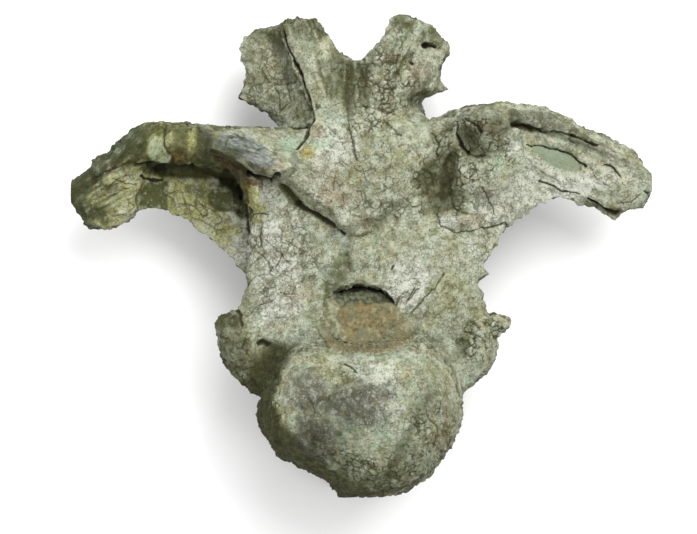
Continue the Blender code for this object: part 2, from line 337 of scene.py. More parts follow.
# Small shifts seen from the front: the middle, the way, the two radii and any turn in degrees.
SHIFTS = [
    ((-258, 204), (-6, 0), (24, 24)),
    ((-222, 248), (4, -4), (38, 24), 45),
    ((-203, 186), (6, -3), (18, 16)),
    ((-178, 181), (0, -3), (30, 15)),
    ((-88, 275), (3, 4), (22, 16), -35),
    ((-75, 263), (7, 0), (15, 11)),
    ((-109, 288), (-4, 1), (7, 5)),
    ((-104, 309), (4, 0), (12, 22)),
    ((70, 285), (-16, 0), (40, 15)),
    ((76, 313), (-5, 0), (16, 18)),
    ((72, 273), (-8, -3), (16, 11)),
    ((-4, 318), (0, 2.6), (11, 8)),
    ((80, 298), (5, -1), (8, 5)),
    ((71, 352), (-2, -2), (15, 15)),
    ((196, 262), (-2, -4), (40, 18), -25),
    ((262, 214), (5, 3), (20, 18)),
    ((230, 184), (1, -6), (16, 14)),
    ((119, 153), (9, 0), (18, 20)),
    ((111, 130), (4, 0), (6, 6)),
    ((107, 120), (-4, 0), (10, 10)),
    ((-110, 137), (-4, 0), (11, 11)),
    ((-101, 122), (2.5, 0), (8, 9)),
    ((-72, -32), (-3, -3), (13, 13)),
    ((-14, -64), (-2, -8), (24, 15)),
    ((-110, 190), (12, 0), (34, 46)),
]

# Dark gaps and cracks: the path seen from the front, its half width (at each end where there are
# two), its depth, how dark it is, and the lowest height that it reaches down to, if not FRONT. Dark
# cracks are the bone's own. In gaps, slits and holes the dark is painted shade, and under
# overhanging edges it is painted shadow.
GAPS = [
    # Between the front and side sheets of the left branch of the spine, with painted shade in the gap.
    ([(-71, 348), (-65, 333), (-57, 316)], (1.8, 2.6), 4, 1),
    ([(-57, 316), (-51, 297), (-47, 281), (-44, 268)], (2.6, 5), 7, 1),
    ([(-44, 268), (-46, 258), (-50, 249), (-57, 240)], (3.4, 1.2), 3, 0.8),
    ([(-66, 263), (-54, 262), (-45, 263)], (1.6, 3), 3, 0.8, 90),
    # Seam down the middle of the spine, and cracks beside it.
    ([(-10.8, 320), (-9.9, 297), (-9, 268)], 1.4, 0.8, 0.45),
    ([(-9, 268), (-7.2, 254.5), (-2.7, 232)], (0.9, 1.3), 1.2, 0.65),
    ([(-9, 268), (2, 272), (10, 268), (15, 262)], 0.9, 0.9, 0.45),
    ([(-40, 281), (-28, 279), (-14, 283)], 0.8, 0.9, 0.45),
    ([(-30, 262), (-22, 256), (-16, 246)], 0.8, 0.8, 0.45),
    ([(6, 303), (9, 299), (12, 292)], 1.2, 1.2, 0.6),
    ([(20, 268), (28, 261), (36, 253)], (0.8, 1.4), 1.4, 0.6),
    ([(26, 246), (30, 236), (27, 226)], 0.8, 1, 0.4),
    ([(33, 323), (31, 312), (26, 301), (20, 290)], 1.6, 1.6, 0.4, 50),
    ([(12, 300), (20, 305), (30, 316)], 1, 1, 0.5, 50),
    # Cracks across the side sheet of the left branch.
    ([(-84, 304), (-73, 301), (-61, 303)], 0.9, 0.9, 0.55, 40),
    ([(-78, 303), (-74, 289), (-72, 278)], 1, 1, 0.6, 40),
    ([(-68, 302), (-66, 293), (-64, 286), (-70, 280), (-72, 276)], 1, 1, 0.55, 40),
    ([(-84, 304), (-92, 316), (-88, 328)], 1, 1, 0.4, 40),
    # Under the left front joint plate, down to the V between the plates: painted shadow under the plate's
    # edge.
    ([(-68, 208), (-61, 201), (-55, 193)], (2, 3.6), 3, 0.7, 80),
    ([(-55, 193), (-45, 186), (-34, 178), (-24, 171), (-14, 164)], (3.6, 1.5), 3, 0.85, 80),
    ([(-4, 163), (4, 164), (12, 168)], (0.8, 1.2), 1, 0.4, 80),
    ([(22, 186), (30, 191), (40, 198)], (1.2, 0.9), 1, 0.35, 80),
    ([(-131, 238), (-120, 232), (-108, 225), (-97, 219)], (2, 3), 4, 0.65, 80),
    ([(-97, 219), (-87, 214), (-78, 212), (-72, 216)], (2, 3.4), 5, 0.95, 80),
    # In the hollow left of the ridge that carries the left joint plate (painted shade), and along that
    # ridge.
    ([(-111, 208), (-109, 203), (-108, 198)], (3.4, 2.6), 5, 1),
    ([(-103, 192), (-101, 178), (-99, 162), (-97, 148)], (2.6, 1.2), 2.2, 0.7),
    ([(-97, 182), (-89, 184), (-82, 183)], 1, 1.2, 0.6, 80),
    ([(-88, 183), (-88, 166), (-87, 150)], 0.8, 1, 0.4, 80),
    # A star of cracks in the wall on the left.
    ([(-84, 160), (-77, 153), (-70, 146), (-62, 137)], 0.9, 1, 0.6, 80),
    ([(-66, 160), (-58, 154), (-52, 150)], 0.9, 1, 0.5, 80),
    ([(-73, 158), (-70, 146), (-75, 137)], 0.8, 1, 0.6, 80),
    ([(-90, 148), (-82, 141), (-78, 132)], 1.1, 1, 0.6, 80),
    ([(-104, 118), (-94, 126), (-84, 130)], 1, 1, 0.45, 80),
    # Painted shadow along the underside of the left bar, and cracks in the bar.
    ([(-200, 227), (-188, 226), (-172, 227), (-152, 225)], (2, 4), 3, 0.8),
    ([(-152, 225), (-138, 222), (-124, 217), (-112, 214)], 4, 3, 0.7),
    ([(-188, 225), (-182, 222), (-177, 223)], (3, 4), 4, 0.9),
    ([(-196, 217), (-188, 213), (-180, 215)], (2, 3), 2.5, 0.9),
    ([(-174, 263), (-176, 255), (-173, 244), (-168, 235), (-168, 228)], (1, 1.6), 1.6, 0.7, 80),
    ([(-241, 214), (-226, 222), (-212, 228), (-200, 229)], (0.8, 1.8), 1.8, 0.6, 80),
    ([(-222, 214), (-210, 210), (-201, 210)], 0.9, 1.2, 0.5, 80),
    ([(-232, 205), (-220, 212), (-208, 219)], 0.8, 1, 0.45, 80),
    ([(-236, 196), (-222, 203), (-208, 206)], 0.8, 0.9, 0.4, 80),
    # Round the broken stump of the right front joint.
    ([(86, 266), (85, 254), (90, 243), (97, 235)], (0.8, 2.2), 3, 0.95, 90),
    ([(93, 269), (102, 262), (108, 255)], (0.8, 2.4), 2.4, 0.9, 90),
    ([(108, 255), (105, 246), (110, 238)], 1, 1.6, 0.6, 90),
    ([(96, 236), (104, 233), (112, 236)], 1.3, 1.6, 0.7, 90),
    ([(64, 256), (70, 245), (68, 234)], 1.2, 1.6, 0.7, 90),
    ([(79, 236), (74, 226), (78, 214), (74, 204)], (1.4, 2), 2, 0.7, 90),
    ([(54, 226), (63, 219), (66, 207)], 1.2, 1.4, 0.6, 90),
    # Round the broken lobe below the stump, with painted shade along its edges.
    ([(69, 183), (72, 173.5), (85, 167), (103, 169)], (1.4, 0.9), 1.6, 0.55, 80),
    ([(103, 169), (118, 173), (130, 175), (134, 170)], (0.9, 1.4), 1.6, 0.6, 80),
    ([(80, 199), (84, 188), (96, 184)], 1.6, 1.4, 0.7, 80),
    ([(108, 208), (116, 196), (120, 184)], 1.3, 1.2, 0.6, 80),
    # Slits in the right process, with painted shade in them.
    ([(137, 263), (148, 261), (161, 258)], (4.4, 2), 5, 0.7),
    ([(161, 257), (172, 258), (189, 254)], (0.9, 1.3), 2, 0.8),
    ([(189, 254), (200, 250), (212, 245)], (1.3, 2.2), 3.5, 1),
    ([(150, 246), (166, 244), (178, 241), (190, 235), (203, 227)], (0.8, 1.8), 2.6, 0.95),
    ([(220, 227.5), (228, 223.5), (234, 217)], 1.2, 2, 0.8),
    ([(162, 214), (172, 209.5), (184, 204), (198, 200.5)], (1.6, 0.9), 2, 0.8),
    ([(146, 252), (146, 235), (162, 222), (178, 214)], 0.9, 1, 0.4),
    ([(206, 228), (214, 214), (224, 208)], 0.8, 1, 0.4),
    ([(206, 196), (220, 187), (232, 181)], (2, 3.4), 3, 1, 40),
    ([(232, 192), (244, 194), (252, 200)], 1.1, 1.4, 0.6, 50),
    ([(259, 204), (262, 201)], 2.4, 2.4, 0.9),
    # Cracks in the wall, beside the canal and along the rib facet on the left.
    ([(75, 130), (66, 116), (60, 110), (45, 94)], (0.8, 1.3), 1.2, 0.6, 80),
    ([(58, 138), (50, 128), (40, 112)], 0.8, 0.8, 0.3, 80),
    ([(-107, 89), (-94, 98), (-82, 105), (-71, 112), (-56, 112)], 0.9, 1, 0.4, 80),
    ([(-40, 82), (-33, 74), (-28, 66)], 1, 1, 0.5, 80),
    ([(-8, 88), (2, 78), (6, 70)], 0.9, 0.8, 0.4, 80),
    # The foramen above the left rib facet, and the holes in the tip of the right branch, with painted shade
    # in them.
    ([(-90, 69), (-85, 70), (-81, 69)], (3.6, 4), 4, 0.8, 80),
    ([(-112, 100), (-106, 92), (-106, 84)], (2.6, 1.6), 2, 0.8),
    ([(59, 336), (65, 336), (67, 335)], (4.2, 3), 7, 1, 50),
    ([(46, 320), (47, 319)], 2.6, 3, 1, 50),
    ([(36, 345), (40, 330), (42, 322)], 0.9, 1, 0.4, 50),
    # Short cracks in the ball.
    ([(-14, 53), (-9, 49.5), (-5, 45)], 1.3, 1, 0.8, 150),
    ([(-46, 22), (-40, 12), (-42, 2)], 1.2, 0.8, 0.5, 150),
    ([(60, 6), (68, -2), (70, -12)], 1.3, 1, 0.6, 120),
    ([(-50, -42), (-38, -53), (-28, -58)], (1.6, 2.6), 2, 0.8, 0),
    ([(-24, -64), (-14, -69), (-3, -71)], (5, 6), 3, 1, 0),
    ([(30, -62), (44, -57), (56, -48)], (1.6, 2.4), 2, 0.6, 0),
]

# Broad hollows (down) and rises (up): the path, its half width, the height and the change of tone, mostly
# painted shade in the hollows and painted light on the rises.
FORMS = [
    # Lips of the front sheets of the spine, and the V between the joint plates.
    ([(-64, 350), (-58, 334), (-50, 317), (-45, 298), (-40, 281), (-37, 266)], 7, 2.4, 0.15),
    ([(-80, 345), (-72, 325), (-64, 305), (-57, 285), (-54, 268)], (7, 13), -3, -0.25),
    ([(-64, 222), (-55, 210), (-45, 199), (-32, 188), (-15, 174)], 7, 1.8, 0.15),
    ([(-78, 210), (-64, 198), (-50, 187), (-34, 176)], (8, 4), -1, -0.3),
    ([(-9, 318), (-9, 290), (-8, 260)], 6, -1.2, -0.15),
    ([(26, 330), (34, 312), (30, 290), (22, 272)], 7, -1.6, -0.15),
    ([(0, 316), (4, 296), (8, 276)], 5, -1, -0.2),
    ([(58, 300), (50, 288), (44, 276)], 8, -1.5, -0.2),
    # Under the left bar, and the hollow beside the ridge, with painted shade in both.
    ([(-192, 223), (-166, 223), (-140, 219), (-120, 213)], (6, 9), -3, -0.5),
    ([(-114, 212), (-111, 200), (-108, 186)], (9, 5), -3, -0.2),
    ([(-92, 222), (-94, 204), (-88, 188)], 7, 2, 0.15),
    # The stump and the valley beside it, with painted shade in the valley.
    ([(84, 240), (78, 222), (76, 200)], (6, 9), -4, -0.2),
    ([(66, 250), (76, 262)], 8, -2, -0.3),
    ([(60, 226), (52, 212)], 9, -1.5, -0.35),
    ([(88, 210), (100, 206), (118, 212)], 10, 2, 0.15),
    ([(84, 179), (100, 180), (126, 184)], 9, 2.4, 0.15),
    ([(120, 262), (134, 268)], 12, 1.5, -0.1),
    # The bands and flakes of the right process.
    ([(150, 232), (168, 222), (190, 214), (206, 209)], 7, 1.4, 0.25),
    ([(148, 214), (168, 206), (190, 198)], 6, -1.4, 0),
    ([(206, 194), (222, 187), (234, 182)], 6, -3, -0.6),
    ([(168, 250), (184, 246), (200, 238)], 5, 2, 0.1),
    # Left of the canal and under the V, round the rib facets, and the face of the ball.
    ([(-13, 146), (-12, 132), (-24, 118), (-28, 106)], (7, 9), -2.4, -0.3),
    ([(-10, 158), (-9, 148)], 6, -1.5, -0.3),
    ([(-24, 122), (0, 126), (24, 121)], 6, 1.6, 0.1),
    ([(-127, 84), (-121, 91), (-108, 90)], 6, 1.8, -0.4),
    ([(-96, 92), (-88, 78), (-84, 66), (-80, 54)], 7, -2, -0.2),
    ([(-53, 69), (-66, 44), (-73, 17), (-60, -6), (-48, -18), (-38, -33)], 7, 0.8, 0.1),
    ([(22, -62), (27, -42), (38, -16), (50, 5), (61, 22)], 7, -1.4, -0.25),
    ([(-58, 72), (-40, 76), (-28, 72), (-10, 66), (12, 66), (30, 72), (52, 78), (70, 70), (84, 54)], 5,
     -1.2, -0.3),
    ([(98, 88), (92, 72), (90, 58)], 7, -2, -0.3),
]

# Parts with an outline of their own: the outline, its edge's softness, the height, the change of
# tone (partly painted shade where a part is sunk) and, where it's stained, the stain's mask and strength.
SHAPES = [
    ([(-189, 247), (-184, 254), (-176, 254), (-173, 244), (-168, 235), (-172, 229), (-186, 230),
      (-190, 238)], 2.5, 3, 0.45, "mint", 0.5),
    ([(-173, 255), (-168, 259), (-166, 247), (-171, 243), (-174, 249)], 2, 2, 0.4),
    ([(-167, 239), (-161, 244), (-154, 239), (-154, 230), (-162, 227), (-168, 231)], 2, -1, 0.1, "ochre",
      1.4),
    ([(-154, 260), (-147, 262), (-146, 240), (-152, 231), (-155, 240)], 2.5, 1.5, 0.4),
    ([(-242, 209), (-228, 218), (-214, 219), (-199, 209), (-199, 191), (-204, 184), (-216, 173),
      (-230, 170), (-246, 176), (-249, 192)], 2.5, 1.6, 0.45, "khaki", 0.6),
    ([(-190, 214), (-182, 219), (-178, 214), (-184, 211)], 1.5, 2, 0.6),
    ([(-94, 212), (-85, 209), (-81, 201), (-79, 188), (-87, 186), (-92, 195)], 1.6, 2, 0.6),
    ([(-87, 176), (-71, 178), (-70, 151), (-86, 151)], 2, 1.4, 0.6, "pale", 1),
    ([(-138, 202), (-128, 210), (-121, 224), (-112, 222), (-107, 208), (-103, 196), (-99, 180),
      (-109, 181), (-118, 187), (-128, 186), (-137, 193)], 3, -3, -1, "olive", 1),
    ([(87, 259), (96, 263), (105, 254), (106, 241), (97, 234), (91, 240), (85, 250)], 1.4, -2, -0.1,
      "dusk", 0.55),
    ([(137, 266), (150, 264), (162, 261), (157, 257), (147, 258), (138, 260)], 1.5, -5, -0.5, "rust",
      0.7),
    ([(130, 276), (161, 275), (188, 264), (215, 246), (250, 226), (261, 216), (250, 218), (228, 230),
      (206, 243), (179, 255), (152, 263), (132, 266)], 1.6, 2.6, -0.45),
    ([(128, 244), (136, 249), (143, 247), (142, 238), (132, 234)], 1.5, 1, 0.6, "pale", 1),
    ([(140, 244), (152, 239), (166, 227), (179, 218), (188, 208), (179, 203), (161, 208), (147, 219),
      (142, 232)], 1.6, 1.6, 0.4),
    ([(58, 329), (68, 327), (72, 320), (66, 311), (58, 315), (54, 324)], 1.6, 1, 0.5),
    ([(-45, 262), (-38, 264), (-34, 252), (-44, 250)], 2, 1, -0.3),
    # The ball's left band: dark olive, with painted shade on it.
    ([(5, -62), (-22, -50), (-40, -36), (-52, -22), (-65, -8), (-77, 17), (-69, 46), (-56, 68), (-80, 68),
      (-96, 40), (-98, 0), (-70, -50), (-40, -75), (5, -90)], 9, -0.6, -1, "olive", 0.5),
    ([(-263, 207), (-242, 230), (-222, 250), (-202, 267), (-188, 267), (-190, 251), (-194, 232),
      (-206, 225), (-222, 223), (-235, 214), (-251, 196), (-260, 183)], 5, 0, 0, "olive", 0.55),
    ([(-245, 219), (-232, 233), (-220, 244), (-216, 240), (-227, 229), (-234, 216), (-241, 214)], 2.5, 0,
      0, "mint", 0.6),
    ([(-230, 224), (-223, 233), (-216, 229), (-221, 217), (-229, 216)], 3, 0, 0, "rust", 0.5),
    ([(-146, 263), (-130, 260), (-128, 240), (-134, 227), (-145, 231)], 4, 0, 0, "dusk", 0.6),
    ([(-199, 206), (-190, 212), (-173, 214), (-173, 201), (-176, 187), (-188, 186), (-199, 192)], 2, 0, 0,
      "olive", 0.9),
    ([(-129, 246), (-123, 253), (-112, 255), (-98, 252), (-85, 243), (-75, 231), (-77, 225), (-89, 223),
      (-103, 230), (-116, 233), (-126, 239)], 2.5, 0, 0, "slate", 1),
    ([(-117, 254), (-101, 255), (-98, 248), (-113, 246)], 2, 0, 0, "dusk", 0.7),
    ([(-99, 227), (-84, 226), (-76, 233), (-66, 229), (-64, 220), (-75, 214), (-90, 216)], 2.5, 0, -0.35,
      "pink", 0.6),
    ([(-133, 238), (-120, 233), (-108, 226), (-97, 221), (-84, 214), (-98, 213), (-112, 219),
      (-128, 230)], 3, 0, -0.25, "rust", 1),
    ([(-112, 222), (-103, 221), (-97, 210), (-97, 196), (-94, 184), (-98, 183), (-102, 195), (-107, 210)],
      1.6, 0.8, -0.6, "ochre", 1),
    ([(-98, 212), (-92, 212), (-90, 199), (-86, 186), (-95, 184), (-98, 197)], 2, 0.5, 0.3, "khaki", 1),
    ([(-100, 183), (-86, 184), (-84, 176), (-98, 174)], 2, 0, 0, "khaki", 0.9),
    ([(130, 276), (161, 275), (188, 264), (215, 246), (250, 226), (250, 219), (228, 231), (206, 244),
      (179, 255), (152, 263), (132, 266)], 2.5, 0, 0, "dusk", 0.5),
    ([(113, 235), (125, 239), (132, 232), (127, 217), (115, 217)], 4, 0, 0, "mint", 0.4),
    ([(-36, 87), (-28, 100), (-14, 106), (18, 106), (33, 101), (42, 88), (49, 70), (22, 62), (-14, 60),
      (-32, 66)], 6, 0, 0, "stain", 1),
    ([(-18, 150), (-7, 149), (-6, 133), (-12, 122), (-20, 108), (-33, 101), (-34, 122), (-26, 138)], 4, 0,
      0, "olive", 0.55),
    ([(-12, 160), (2, 161), (13, 164), (22, 175), (31, 184), (42, 193), (60, 201), (58, 207), (40, 199),
      (27, 190), (17, 180), (9, 169), (0, 166), (-12, 165)], 3, -0.6, -0.15, "olive", 0.45),
    ([(-72, 213), (-62, 207), (-52, 196), (-46, 188), (-50, 184), (-60, 192), (-70, 203)],
      3, 0, -0.5, "olive", 0.9),
    ([(-104, 220), (-96, 214), (-86, 212), (-88, 206), (-97, 208), (-106, 214)], 2, 0, -0.3, "rust", 0.9),
]

# Soft round patches: the mask, the middle, the two radii, the strength and any turn in degrees.
PATCHES = [
    ("dusk", (-2, 17), (46, 28), 0.8, 10),
    ("dusk", (-38, -14), (26, 36), 0.9),
    ("dusk", (-46, 26), (26, 30), 0.7),
    ("mint", (0, -4), (110, 90), 0.25),
    ("pale", (16, 41), (28, 16), 1),
    ("pale", (30, 10), (26, 30), 0.4),
    ("putty", (177, 234), (25, 9.5), 3, -25),
    ("olive", (-240, 186), (30, 12), 0.7, -20),
    ("khaki", (-160, 197), (66, 34), 1, -25),
    ("khaki", (-180, 240), (90, 36), 1, -10),
    ("mint", (-212, 246), (30, 9), 1.3, 40),
    ("mint", (-160, 226), (30, 8), 0.5),
    ("pale", (-157, 203), (14, 9), 1.2),
    # Painted light on the lower web, where the wall's shadow falls.
    ("pale", (-122, 166), (36, 40), 1.4),
    ("pale", (-80, 196), (12, 20), 0.5),
    ("pale", (-72, 136), (20, 16), 0.9),
    ("pale", (-70, 98), (32, 20), 0.8, 20),
    ("pale", (-26, 240), (34, 26), 0.8),
    ("pale", (-235, 199), (9, 5), 1.6, 45),
    ("pale", (-232, 208), (5, 5), 1.4),
    ("dusk", (-80, 121), (13, 10), 0.4),
    ("mint", (-40, 246), (26, 12), 0.4),
    ("mint", (-60, 244), (20, 14), 0.6),
    ("olive", (74, 204), (18, 22), 0.4),
    ("pink", (-24, 204), (40, 24), 0.5, -35),
    ("khaki", (-46, 238), (13, 11), 0.6),
    ("ochre", (-46, 238), (12, 10), 0.35),
    ("khaki", (-128, 168), (34, 34), 0.5),
    ("pink", (28, 324), (10, 10), 0.8),
    ("pink", (52, 312), (16, 14), 0.7),
    ("pink", (-40, 256), (10, 8), 0.8),
    ("pink", (6, 174), (13, 9), 0.5),
    ("pink", (-60, 110), (20, 12), 0.5),
    ("olive", (66, 342), (16, 16), 1),
    ("olive", (40, 356), (16, 10), 0.6),
    ("olive", (-118, 87), (16, 10), 1),
    ("pale", (42, 120), (24, 34), 1, -20),
    ("pale", (190, 206), (50, 16), 0.8, 20),
    ("pink", (100, 178), (20, 8), 0.6),
    ("pale", (78, 176), (12, 9), 1.2),
    ("pink", (114, 262), (20, 12), 0.5),
    ("rust", (72, -10), (24, 34), 0.3),
    ("mint", (66, -40), (20, 12), 0.4),
    ("khaki", (-80, -10), (24, 60), 0.6),
]

# Where the surface stays even: middle, radii, strength and any turn, as in the lists below.
CALM = [
    ((-102, 238), (32, 13), 1, -22),
    ((177, 234), (28, 12), 1, -25),
    ((-186, 200), (16, 14), 0.8),
    ((-115, 202), (20, 26), 0.9, 10),
]

# How strongly the surface is cracked into plates.
CRACKLED = [
    ((-72, 150), (46, 80), 0.65),
    ((60, 140), (70, 60), 0.3),
    ((0, 205), (70, 40), 0.7),
    ((-140, 195), (60, 34), 0.4, -20),
    ((-125, 165), (36, 36), 0.35),
    ((110, 190), (60, 60), 0.5),
    ((-80, 300), (30, 50), 0.7),
    ((190, 210), (70, 40), 0.35, -20),
    ((-175, 245), (90, 30), 0, -10),
    ((-102, 238), (36, 18), 0, -22),
    ((177, 234), (30, 13), 0, -25),
    ((-115, 202), (20, 26), 0, 10),
]

# Where pale plates stand apart in olive ground.
PLATED = [
    ((-145, 192), (62, 26), 0.9, -32),
    ((-112, 152), (18, 34), 0.4),
    ((-70, 128), (30, 44), 0.55),
    ((118, 176), (44, 34), 0.35),
    ((112, 150), (26, 34), 0.5),
    ((-115, 202), (22, 28), 0, 10),
]

# Where the grain runs in streaks: middle, radii, the streaks' direction, strength and any turn.
STREAKED = [
    ((-46, 312), (36, 64), 107, 1),
    ((-84, 305), (30, 50), 98, 0.5),
    ((38, 312), (50, 62), 62, 1),
    ((-8, 290), (30, 50), 92, 0.7),
    ((30, 250), (50, 30), 130, 0.6),
    ((190, 232), (90, 50), -24, 0.9, -22),
    ((48, 120), (50, 56), 52, 1.2),
    ((-225, 198), (34, 32), 28, 1),
    ((-200, 245), (50, 26), 42, 0.6, 40),
    ((-102, 240), (34, 14), -20, 0.8, -22),
    ((-88, 190), (18, 34), 100, 0.7),
    ((-86, 110), (44, 26), 25, 0.7),
    ((-50, 215), (40, 22), -40, 0.7, -40),
]

# How much darker (down to -1) or paler (up to 1) parts of the bone are: partly their own tone, partly
# painted shade and painted light.
TONES_AND_SHADING = [
    ((-175, 242), (105, 40), -0.73, -8),
    ((-245, 200), (36, 44), -0.9),
    ((-140, 190), (44, 22), 0.7, -20),
    # Painted light on the web under the left bar, where the wall's shadow falls.
    ((-128, 165), (34, 34), 1),
    ((-72, 150), (40, 80), 0.5),
    ((60, 145), (60, 50), 0.2),
    ((80, 92), (50, 34), -0.25),
    ((145, 192), (60, 34), 1, 10),
    ((190, 208), (60, 20), 0.9, -10),
    ((225, 212), (40, 26), 0.4, -25),
    ((108, 256), (42, 32), -0.5),
    # Painted shade in the valley beside the stump.
    ((75, 212), (28, 44), -0.7),
    ((-85, 305), (34, 80), -0.2),
    ((-62, 356), (70, 20), -0.6),
    ((50, 320), (44, 70), -0.3),
    ((-14, 306), (36, 44), -0.6),
    ((-112, 52), (30, 50), -0.6),
    ((108, 60), (36, 44), -0.25),
    # On the ball: painted shade on its lower part and its sides.
    ((-8, 8), (62, 50), -0.3),
    ((-30, -4), (40, 44), -0.45),
    ((-20, -52), (110, 24), -0.45),
    ((60, -34), (54, 44), -0.45),
    ((64, 16), (36, 54), -0.35),
    ((0, 215), (70, 44), -0.3),
    # Painted light on the web under the left bar, where the wall's shadow falls.
    ((-140, 180), (50, 40), 1, -30),
]

# Where the bone is broken into rubble.
RUBBLE = [
    ((100, 240), (50, 46), 1),
    ((72, 212), (36, 50), 1.4),
    ((10, 250), (50, 30), 0.6),
    ((18, 300), (46, 50), 0.9),
    ((-50, 352), (60, 18), 0.7),
    ((-16, 310), (16, 20), 0.8),
    ((0, 2), (84, 76), 0.5),
    ((-20, -52), (90, 30), 1.2),
    ((66, -20), (40, 60), 0.7),
    ((112, 66), (40, 40), 0.9),
    ((-112, 50), (36, 44), 0.9),
    ((-84, 10), (20, 70), 1),
    ((-150, 264), (70, 12), 0.8),
    ((10, 68), (100, 14), 0.6),
    ((40, 190), (40, 30), 0.5),
    ((-220, 250), (50, 20), 0.5, 40),
]


def grained(points, spots):
    """Streaks over the bone where it has them, about -1 to 1, and thin cracks that run with them."""
    grain = np.zeros(len(points))
    cracks = np.zeros(len(points))
    for row, (centre, radii, angle, strength, *turn) in enumerate(STREAKED):
        near = strength * soft(near_spot(spots, centre, radii, *turn), 0, 0.5)
        inside = (near > 0).nonzero()[0]
        drawn_out = streaks(points[inside], angle, row)
        bent = drawn_out + 1.6 * rough(points[inside], 9, 300 + row, 2)[:, None]
        grain[inside] += near[inside] * (1.3 * rough(drawn_out, 2.6, 320 + row, 2) - grain[inside])
        line = 1 - soft(np.abs(rough(bent, 8, 340 + row, 2)), 0, 0.07)
        cracks[inside] += near[inside] * (line - cracks[inside])
    return grain, cracks


def flattened(points, outline, softness, lowest, rise):
    """Brings the front inside an outline to one plane, a little higher than it was."""
    near = near_shape(points[:, :2], outline, softness) * (points[:, 2] > lowest)
    inside = near > 0.9
    flat = np.column_stack([points[:, :2], np.ones(len(points))])
    plane = np.linalg.lstsq(flat[inside], points[inside, 2], rcond=None)[0]
    points[:, 2] += near * (flat @ plane + rise - points[:, 2])


